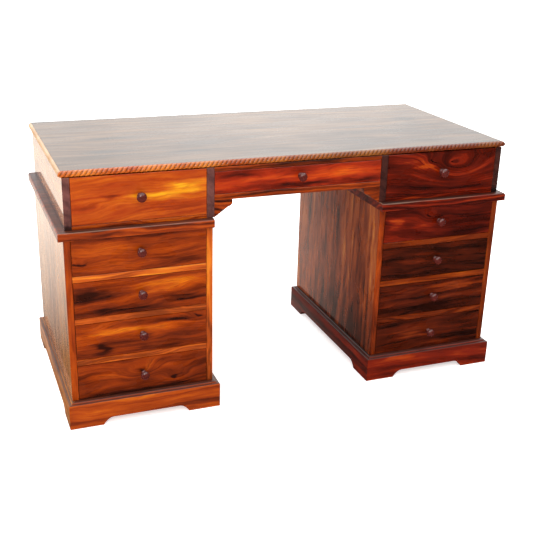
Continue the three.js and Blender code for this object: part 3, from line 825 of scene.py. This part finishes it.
@dataclass
class Plinth:
    """Four mitred bracket boards round a bottom board. Lengths in millimetres."""

    side: str
    thickness: float = 20.0
    foot: float = 98.0
    arch: float = 22.0
    arch_run: float = 30.0
    step: float = 4.0
    step_back: float = 9.0
    nose: float = 3.0
    floor_thickness: float = 16.0
    mitre_gap: float = 0.15
    arch_fullness: float = 0.8
    arch_steps: int = 8

    def build(self) -> None:
        """Builds the four boards and the bottom board."""
        node = f"{self.side}_plinth"
        low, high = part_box(node)
        sign = SIDES[self.side]
        middle = (low + high) / 2
        half = (high - low) / 2
        # Upward faces get painted shade, and upper edges are painted pale, partly as rubbed finish and
        # partly as painted highlight.
        shared = {"top_shade": 0.75, "polish": Polish.WAXED, "board": (low, high)}
        lengthways = Sheesham(f"sheesham_{self.side}_plinth_front", Grain.FRONT,
                              ORANGE if sign < 0 else RED, seed=41.0 + sign, tilt=0.03, edge_wear_and_highlight=0.3,
                              heart=-0.12 - 0.05 * (sign > 0), contrast=0.8, sway=16.0,
                              **shared).make()
        depthways = Sheesham(f"sheesham_{self.side}_plinth_side", Grain.SIDE_LEVEL,
                             HONEY if sign < 0 else RED, seed=44.0 + sign, heart=0.05, edge_wear_and_highlight=0.2,
                             sway=14.0, relief=0.01, **shared).make()
        turns = {"front": (0, half.x, half.y), "right": (90, half.y, half.x),
                 "back": (180, half.x, half.y), "left": (270, half.y, half.x)}
        for name, (turn, half_length, reach) in turns.items():
            made = self._bracket(f"{self.side}_plinth_{name}", half_length, high.z)
            spin = Matrix.Rotation(math.radians(turn), 4, "Z")
            shift = Matrix.Translation((middle.x, middle.y, 0))
            made.data.transform(shift @ spin @ Matrix.Translation((0, -reach, 0)))
            ease(made, 0.5)
            dress(made, lengthways if name in ("front", "back") else depthways, CARCASE)
            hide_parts(node)
        inset = (self.thickness + self.mitre_gap) * MM
        bottom = high.z - self.floor_thickness * MM
        floor = board(f"{self.side}_pedestal_bottom",
                      Vector((low.x + inset, low.y + inset, bottom)),
                      Vector((high.x - inset, high.y - inset, high.z)))
        ease(floor, 0.4)
        dress(floor, lengthways, CARCASE)
        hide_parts(node)

    def _section(self, height: float) -> list[Point]:
        """A board's section as (distance in from its face, height), anticlockwise, in metres."""
        deep = self.thickness * MM
        nose = self.nose * MM
        ledge = height - self.step * MM
        back = self.step_back * MM
        rise = self.step * MM
        section = [(deep, 0.0), (deep, height)]
        section += [(back + rise - d, h) for d, h in arc((0, ledge), (rise, rise), 90, 0, 5)]
        section += arc((nose, ledge - nose), (nose, nose), 90, 180, 4)
        section.append((0.0, 0.0))
        return section

    def _arch_height(self, s: float, half_length: float) -> float:
        """Height of the board's lower edge at a place along it, in metres."""
        into = half_length - abs(s) - self.foot * MM
        if into <= 0:
            return 0.0
        run = self.arch_run * MM
        share = min(1.0, into / run)
        return self.arch * MM * math.sin(share * math.pi / 2) ** self.arch_fullness

    def _bracket(self, name: str, half_length: float, height: float) -> bpy.types.Object:
        """One bracket board, its outer face on y = 0 and its middle at x = 0."""
        section = self._section(height)
        foot = half_length - self.foot * MM
        run = self.arch_run * MM
        curve = [foot - run * i / self.arch_steps for i in range(self.arch_steps + 1)]
        stations = [-half_length, -foot, *[-s for s in curve], *reversed(curve), foot, half_length]
        stations = sorted(set(round(s, 6) for s in stations))
        points = []
        gap = self.mitre_gap * MM
        for s in stations:
            low = self._arch_height(s, half_length)
            for inward, z in section:
                at_end = abs(abs(s) - half_length) < 1e-6
                x = math.copysign(abs(s) - inward - gap, s) if at_end else s
                points.append((x, inward, max(z, low) if z == 0.0 else z))
        count = len(section)
        faces = rows_to_faces(len(stations), count, closed=True)
        faces.append(tuple(range(count)))
        last = (len(stations) - 1) * count
        faces.append(tuple(last + i for i in reversed(range(count))))
        return mesh_piece(name, points, faces, smooth=35)


@dataclass
class Pedestal:
    """One pedestal: sides, back, dividers, ledge and plinth."""

    side: str

    def build(self) -> None:
        """Dresses the boards and builds the moulded work."""
        sign = SIDES[self.side]
        lips = {"outer": ORANGE, "inner": SAPWOOD} if sign < 0 else {"outer": RUSSET, "inner": ORANGE}
        # Painted shade on the inner sides: soft darker patches, the broadest low down near the front.
        shaded = (Patch(0.75, 0.45, 200, 24, 0.32), Patch(0.35, 0.62, 120, 14, 0.22),
                  Patch(0.80, 0.20, 160, 12, 0.15), Patch(0.06, 0.25, 150, 260, 0.50))
        looks = {"outer": {"contrast": 0.8, "relief": 0.003},
                 "inner": {"contrast": 0.9, "relief": 0.02, "heart": -0.02, "flecks": 0.2,
                           "patches": shaded}}
        for i, (face, look) in enumerate(looks.items()):
            node = f"{self.side}_pedestal_{face}_side"
            palette = HONEY if face == "outer" and sign < 0 else BROWN
            wood = Sheesham(f"sheesham_{node}", Grain.SIDE_UPRIGHT, palette, seed=51.0 + 3 * i + sign,
                            stave=118.0, figure=26.0, sway=18.0, cloud=0.5, streak=0.25, lines=0.08,
                            lipping=lips[face], board=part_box(node), **look)
            refinish(node, wood.make(), 1.2)
        back = Sheesham(f"sheesham_{self.side}_pedestal_back", Grain.BACK_UPRIGHT, BROWN,
                        seed=58.0 + sign, stave=130.0, sway=16.0, contrast=0.75,
                        polish=Polish.SATIN)
        refinish(f"{self.side}_pedestal_back", back.make())
        hearts = (0.18, 0.38, 0.40) if sign < 0 else (0.05, -0.10, 0.15)
        for i in range(1, PEDESTAL_DRAWERS):
            node = f"{self.side}_divider_{i}"
            wood = Sheesham(f"sheesham_{node}", Grain.FRONT, SAPWOOD if sign < 0 else RUSSET,
                            seed=61.0 + 2 * i + sign, figure=8.0, contrast=0.8,
                            heart=hearts[i - 1])
            refinish(node, wood.make(), 0.8)
        Ledge(self.side).build()
        Plinth(self.side).build()


# ------------------------------------------------------------------ drawers

@dataclass
class Knob:
    """A turned mushroom knob. Shares are of the head's radius; heights are in millimetres."""

    collar: float = 0.68
    collar_height: float = 2.6
    collar_step: float = 0.6
    waist: float = 0.42
    waist_height: float = 7.5
    underside: float = 0.8
    underside_drop: float = 3.2
    rim_width: float = 3.0
    rim_height: float = 3.4
    head_height: float = 17.5
    crown_rise: float = 0.9
    crown_inset: float = 0.3
    height: float = 27.0
    tenon_radius: float = 4.5
    steps: int = 40

    def build(self, name: str, node: str) -> bpy.types.Object:
        """Turns the knob on the node's own axis, a little inside the node."""
        low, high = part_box(node)
        centre = (low + high) / 2
        radius = (high.z - low.z) / 2
        face = low.y + self.height * MM
        profile = self._profile(radius, (face - low.y), high.y - face)
        points = []
        for r, h in profile:
            for i in range(self.steps):
                a = 2 * math.pi * i / self.steps
                points.append((centre.x + r * math.cos(a), face - h, centre.z + r * math.sin(a)))
        rows = len(profile)
        faces = rows_to_faces(rows, self.steps, closed=True)
        faces.append(tuple(range(self.steps)))
        faces.append(tuple((rows - 1) * self.steps + i for i in reversed(range(self.steps))))
        return mesh_piece(name, points, faces, smooth=40)

    def _profile(self, radius: float, length: float, tenon: float) -> list[Point]:
        """The outline from the tenon's end to the tip, as (radius, height), in metres."""
        collar = self.collar * radius
        waist = self.waist * radius
        top = self.collar_height * MM
        middle = self.waist_height * MM
        wide = self.head_height * MM
        rim = (self.rim_width * MM, self.rim_height * MM)
        crown = wide + self.crown_rise * MM
        peg = self.tenon_radius * MM
        outline = [(peg, -tenon), (peg, 0.0), (collar - self.collar_step * MM, 0.0)]
        outline += arc((collar - top / 2, top / 2), (top / 2, top / 2), -60, 90, 5)
        outline += arc((collar, middle), (collar - waist, middle - top), -100, -180, 6)
        under = self.underside * radius
        swell = wide - middle - self.underside_drop * MM
        outline += arc((under, middle), (under - waist, swell), 175, 100, 5)
        outline += arc((radius - rim[0], wide), rim, -70, 20, 5)
        outline += arc((0.0, crown), (radius - self.crown_inset * MM, length - crown), 12, 88, 9)
        return outline


@dataclass
class Drawer:
    """One drawer: its figured front, its box of four boards and its knob. Lengths in millimetres."""

    name: str
    finish: Sheesham
    side_thickness: float = 12.0
    bottom_thickness: float = 6.0
    joint: float = 0.1

    def build(self, knob_wood: bpy.types.Material, lining: bpy.types.Material,
              lining_side: bpy.types.Material) -> None:
        """Dresses the front, builds the box and turns the knob."""
        body = f"drawer_{self.name}"
        refinish(f"drawer_front_{self.name}", self.finish.make(), 1.0)
        node = f"drawer_box_{self.name}"
        low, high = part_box(node)
        t = self.side_thickness * MM
        b = self.bottom_thickness * MM
        j = self.joint * MM
        shapes = {
            "left_board": (low, Vector((low.x + t, high.y, high.z))),
            "right_board": (Vector((high.x - t, low.y, low.z)), high),
            "back_board": (Vector((low.x + t + j, high.y - t, low.z + b + j)),
                           Vector((high.x - t - j, high.y, high.z))),
            "bottom_board": (Vector((low.x + t + j, low.y, low.z)),
                             Vector((high.x - t - j, high.y, low.z + b))),
        }
        for part, (corner, far) in shapes.items():
            made = board(f"{body}_{part}", corner, far)
            ease(made, 0.8)
            dress(made, lining if part in ("back_board", "bottom_board") else lining_side,
                  body)
            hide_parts(node)
        knob = Knob().build(f"{body}_turned_knob", f"knob_{self.name}")
        dress(knob, knob_wood, body)
        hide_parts(f"knob_{self.name}")


def drawer_finishes() -> dict[str, Sheesham]:
    """The figure of each drawer front, board by board."""
    def front(name: str, palette: Palette, seed: float, *marks: Knot | Patch,
              **rest: object) -> Sheesham:
        """One drawer front's wood, with its knots and patches."""
        shared = {"sway": 18.0, "cloud": 0.42, "streak": 0.22, "lines": 0.22, "flecks": 0.4}
        return Sheesham(f"sheesham_drawer_{name}", Grain.FRONT, palette, seed=seed,
                        knots=tuple(m for m in marks if isinstance(m, Knot)),
                        patches=tuple(m for m in marks if isinstance(m, Patch)),
                        board=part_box(f"drawer_front_{name}"), **{**shared, **rest})

    made = [
        front("top_left", GOLDEN, 71.0, Patch(0.66, 0.52, 100, 13, -0.45),
              Patch(0.86, 0.66, 60, 15, -0.55), Patch(0.28, 0.55, 20, 7, 0.35),
              Patch(0.62, 0.80, 110, 8, 0.20), Patch(0.18, 0.30, 60, 12, 0.15),
              Patch(0.75, 0.15, 120, 12, 0.15), tilt=-0.08, heart=0.13, contrast=0.62, flecks=0.3),
        front("top_centre", VIVID, 73.0, Patch(0.50, 0.12, 110, 8, 0.55),
              Patch(0.88, 0.10, 60, 8, 0.45), Patch(0.12, 0.80, 60, 7, 0.30),
              Patch(0.33, 0.55, 80, 9, -0.30), Patch(0.75, 0.50, 110, 12, -0.25), tilt=-0.02,
              heart=0.05, sway=9.0, contrast=0.7),
        front("top_right", RED, 75.0, Knot(0.66, 0.64, 40, 90, 0.0), Knot(0.41, 0.80, 10, 20, 0.8),
              Knot(0.60, 0.74, 9, 12, 0.9), Patch(0.34, 0.66, 24, 9, -0.65),
              Patch(0.20, 0.80, 40, 10, -0.30), Patch(0.45, 0.12, 170, 16, 0.25),
              Patch(0.95, 0.80, 30, 30, 0.20), tilt=0.06, figure=20.0, sway=10.0, contrast=0.8,
              lines=0.4),
        front("left_1", ORANGE, 77.0, Knot(0.04, 0.30, 10, 14, 0.7), Patch(0.25, 0.55, 90, 26, -0.22),
              Patch(0.80, 0.18, 90, 10, 0.35), Patch(0.5, 0.95, 190, 7, 0.20), tilt=-0.02,
              contrast=0.6),
        front("left_2", ORANGE, 79.0, Patch(0.12, 0.62, 60, 24, 0.50), Patch(0.35, 0.10, 160, 12, 0.50),
              Patch(0.85, 0.28, 80, 9, 0.45), Patch(0.62, 0.66, 90, 20, -0.40),
              Patch(0.86, 0.80, 50, 12, -0.30), sway=26.0, contrast=0.75, heart=0.04),
        front("left_3", ORANGE, 81.0, Knot(0.93, 0.88, 13, 18, 0.9), Patch(0.20, 0.22, 22, 18, 0.50),
              Patch(0.30, 0.72, 100, 9, -0.45), Patch(0.62, 0.62, 60, 12, -0.25),
              Patch(0.78, 0.84, 50, 7, 0.40), Patch(0.5, 0.05, 200, 8, 0.25), tilt=0.03, sway=20.0,
              contrast=0.66, heart=0.05),
        front("left_4", ORANGE, 83.0, Knot(0.48, 0.62, 18, 36, 0.6), Knot(0.76, 0.30, 16, 26, 0.9),
              Patch(0.22, 0.55, 50, 20, -0.25), Patch(0.62, 0.72, 50, 10, -0.25),
              Patch(0.5, 0.02, 220, 8, 0.45), tilt=-0.05, sway=32.0, heart=0.14, contrast=0.66),
        # The right-hand fronts are darker partly from their heartwood and partly from painted shade,
        # where the light falls off.
        front("right_1", RED, 85.0, Knot(0.42, 0.72, 13, 30, 0.8), Patch(0.10, 0.55, 26, 20, -0.50),
              Patch(0.34, 0.40, 40, 10, -0.30), Patch(0.85, 0.40, 70, 40, 0.20), tilt=0.05, sway=26.0,
              heart=0.08, contrast=0.8),
        front("right_2", DEEP, 87.0, Patch(0.30, 0.52, 45, 9, -0.45), Patch(0.80, 0.80, 70, 9, 0.30),
              tilt=0.03, heart=0.08, sway=14.0),
        front("right_3", DEEP, 89.0, Patch(0.76, 0.78, 80, 11, -0.70), Patch(0.40, 0.22, 160, 16, 0.40),
              Patch(0.25, 0.70, 60, 10, -0.20), tilt=-0.04, sway=14.0, heart=-0.05),
        front("right_4", DEEP, 91.0, Patch(0.28, 0.52, 45, 14, -0.30), Patch(0.85, 0.20, 80, 18, 0.35),
              tilt=-0.03, sway=14.0, heart=-0.10),
    ]
    names = ["top_left", "top_centre", "top_right"]
    names += [f"{side}_{i}" for side in SIDES for i in range(1, PEDESTAL_DRAWERS + 1)]
    return dict(zip(names, made))


# ------------------------------------------------------------------ studio

@dataclass(frozen=True)
class Lamp:
    """A soft rectangular light: its middle, what it points at, its size in metres and its watts."""

    name: str
    place: tuple[float, float, float]
    aim: tuple[float, float, float]
    size: tuple[float, float]
    power: float
    colour: str = "#fffaf2"


@dataclass(frozen=True)
class Fade:
    """How light changes with direction: where the change starts and ends, and both its levels."""

    start: float
    end: float
    low: float = 0.0
    high: float = 1.0

    def add_to(self, tree: Tree, along: Value, **settings: object) -> Value:
        """Adds the change to the world's nodes, along one part of the direction."""
        return add(tree, "MapRange", {"Value": along, "From Min": self.start, "From Max": self.end,
                                      "To Min": self.low, "To Max": self.high}, **settings)


@dataclass
class Studio:
    """A pale floor, soft light and the camera. Angles in degrees, lengths in metres.

    The Fades shape the light by direction: a wall behind the desk, cut off below along a slanting
    line, dimmer towards the horizon and the left, with a soft light overhead.
    """

    camera_place: tuple[float, float, float] = (-0.9977, -2.6083, 1.3903)
    heading: float = 21.261
    tilt_down: float = 21.157
    roll: float = 1.56
    lens: float = 60.13
    floor_size: float = 60.0
    floor_glow: float = 0.60
    floor_tint: str = "#fff5e8"
    seen_backdrop: float = 1.05
    behind: Fade = Fade(-0.1, 0.5, 0.03, 1.40)
    slope: float = -0.15
    floor_line: Fade = Fade(-0.43, -0.29, 0.05, 1.2)
    horizon: Fade = Fade(-0.05, 0.1, 0.0, -0.2)
    wall: Fade = Fade(0.18, 0.28, 0.87, 1.0)
    left_edge: Fade = Fade(-0.43, -0.34, 0.03, 1.0)
    overhead: Fade = Fade(0.55, 0.7, 0.0, 2.0)
    warmth: Fade = Fade(-0.25, -0.05)
    hot_spot: float = 0.35
    hot_spot_falloff: float = -5.0
    hot_spot_least: float = 0.86
    key: Lamp = Lamp("key", (-1.5, -2.7, 1.9), (-0.3, -0.3, 0.4), (1.0, 1.0), 24.0)
    strip: Lamp = Lamp("strip", (0.3, -3.0, 2.4), (0.1, -0.3, 0.4), (3.6, 0.9), 20.0)
    fill: Lamp = Lamp("fill", (-3.4, -0.2, 1.1), (-0.7, 0.0, 0.4), (1.6, 1.4), 21.0, "#eef3ff")

    def build(self) -> None:
        """Sets up the camera, the floor and the light."""
        self._camera()
        self._floor()
        self._world()
        self._lamps()
        view = bpy.context.scene.view_settings
        view.view_transform = "Standard"
        view.look = "None"

    def _camera(self) -> None:
        """The camera, to the left of the desk and above it."""
        data = bpy.data.cameras.new("camera")
        data.lens = self.lens
        data.clip_end = 200.0
        camera = bpy.data.objects.new("camera", data)
        spin = Matrix.Rotation(-math.radians(self.heading), 4, "Z")
        nod = Matrix.Rotation(math.radians(90 - self.tilt_down), 4, "X")
        roll = Matrix.Rotation(math.radians(self.roll), 4, "Z")
        camera.matrix_world = Matrix.Translation(self.camera_place) @ spin @ nod @ roll
        bpy.context.scene.collection.objects.link(camera)
        bpy.context.scene.camera = camera

    def _floor(self) -> None:
        """A plain pale floor that the lacquer doesn't mirror."""
        half = self.floor_size / 2
        corners = [(-half, -half, 0), (half, -half, 0), (half, half, 0), (-half, half, 0)]
        floor = mesh_piece("studio_floor", corners, [(0, 1, 2, 3)])
        material, tree = start_material("matt_white_floor")
        surface = add(tree, "BsdfPrincipled", {
            "Base Color": linear("#f4f4f4"), "Roughness": 1.0, "Specular IOR Level": 0.0,
            "Emission Color": linear("#ffffff"), "Emission Strength": self.floor_glow})
        add(tree, "OutputMaterial", {"Surface": surface})
        floor.data.materials.append(material)
        floor.visible_glossy = False

    def _world(self) -> None:
        """A bright backdrop behind the desk and a dim room in front, white where seen directly."""
        world = bpy.data.worlds.new("studio")
        bpy.context.scene.world = world
        world.use_nodes = True
        tree = world.node_tree
        tree.nodes.clear()
        axes = add(tree, "SeparateXYZ", (add(tree, "TexCoord").outputs["Generated"],)).outputs
        x, z = axes["X"], axes["Z"]
        slant = add(tree, "Math", (x, self.slope, z), operation="MULTIPLY_ADD")
        aside = add(tree, "Math", (x, self.hot_spot), operation="SUBTRACT")
        aside = add(tree, "Math", (aside, aside), operation="MULTIPLY")
        aside = add(tree, "Math", (aside, self.hot_spot_falloff, 1.0), operation="MULTIPLY_ADD")
        aside = add(tree, "Math", (aside, self.hot_spot_least), operation="MAXIMUM")
        glow = add(tree, "Math", (self.floor_line.add_to(tree, slant),
                                  self.horizon.add_to(tree, z)), operation="ADD")
        for part in (self.behind.add_to(tree, axes["Y"], interpolation_type="SMOOTHSTEP"),
                     self.wall.add_to(tree, z), self.left_edge.add_to(tree, x), aside):
            glow = add(tree, "Math", (glow, part), operation="MULTIPLY")
        glow = add(tree, "Math", (glow, self.overhead.add_to(tree, z)), operation="ADD")
        seen = add(tree, "LightPath").outputs["Is Camera Ray"]
        strength = add(tree, "Mix", {0: seen, 2: glow, 3: self.seen_backdrop}, data_type="FLOAT")
        colour = add(tree, "Mix", {0: self.warmth.add_to(tree, z), MIX_A: linear(self.floor_tint),
                                   MIX_B: linear("#ffffff")}, data_type="RGBA")
        back = add(tree, "Background", {"Color": colour, "Strength": strength})
        add(tree, "OutputWorld", {"Surface": back})

    def _lamps(self) -> None:
        """The soft lights: a near one in front, a long one overhead, and one for the left end."""
        for lamp in (self.key, self.strip, self.fill):
            data = bpy.data.lights.new(lamp.name, "AREA")
            data.shape = "RECTANGLE"
            data.size, data.size_y = lamp.size
            data.energy = lamp.power
            data.color = linear(lamp.colour)[:3]
            made = bpy.data.objects.new(lamp.name, data)
            place = Vector(lamp.place)
            made.location = place
            made.rotation_mode = "QUATERNION"
            made.rotation_quaternion = (Vector(lamp.aim) - place).to_track_quat("-Z", "Y")
            made.visible_camera = False
            bpy.context.scene.collection.objects.link(made)


def main() -> None:
    """Builds the studio and the desk, sub-assembly by sub-assembly."""
    logging.basicConfig(level=logging.INFO, format="%(name)s: %(message)s")
    Studio().build()
    WritingTop().build()
    UpperCase().build()
    for side in SIDES:
        Pedestal(side).build()
    knob_wood = TurnedRosewood().make()
    lining = Sheesham("pale_hardwood_bottoms", Grain.TOP, PALE, seed=95.0, polish=Polish.BARE,
                      contrast=0.6, figure=16.0).make()
    lining_side = Sheesham("pale_hardwood_sides", Grain.SIDE_LEVEL, PALE, seed=97.0,
                           polish=Polish.BARE, contrast=0.6, figure=16.0).make()
    for name, finish in drawer_finishes().items():
        Drawer(name, finish).build(knob_wood, lining, lining_side)


if __name__ == "__main__":
    main()
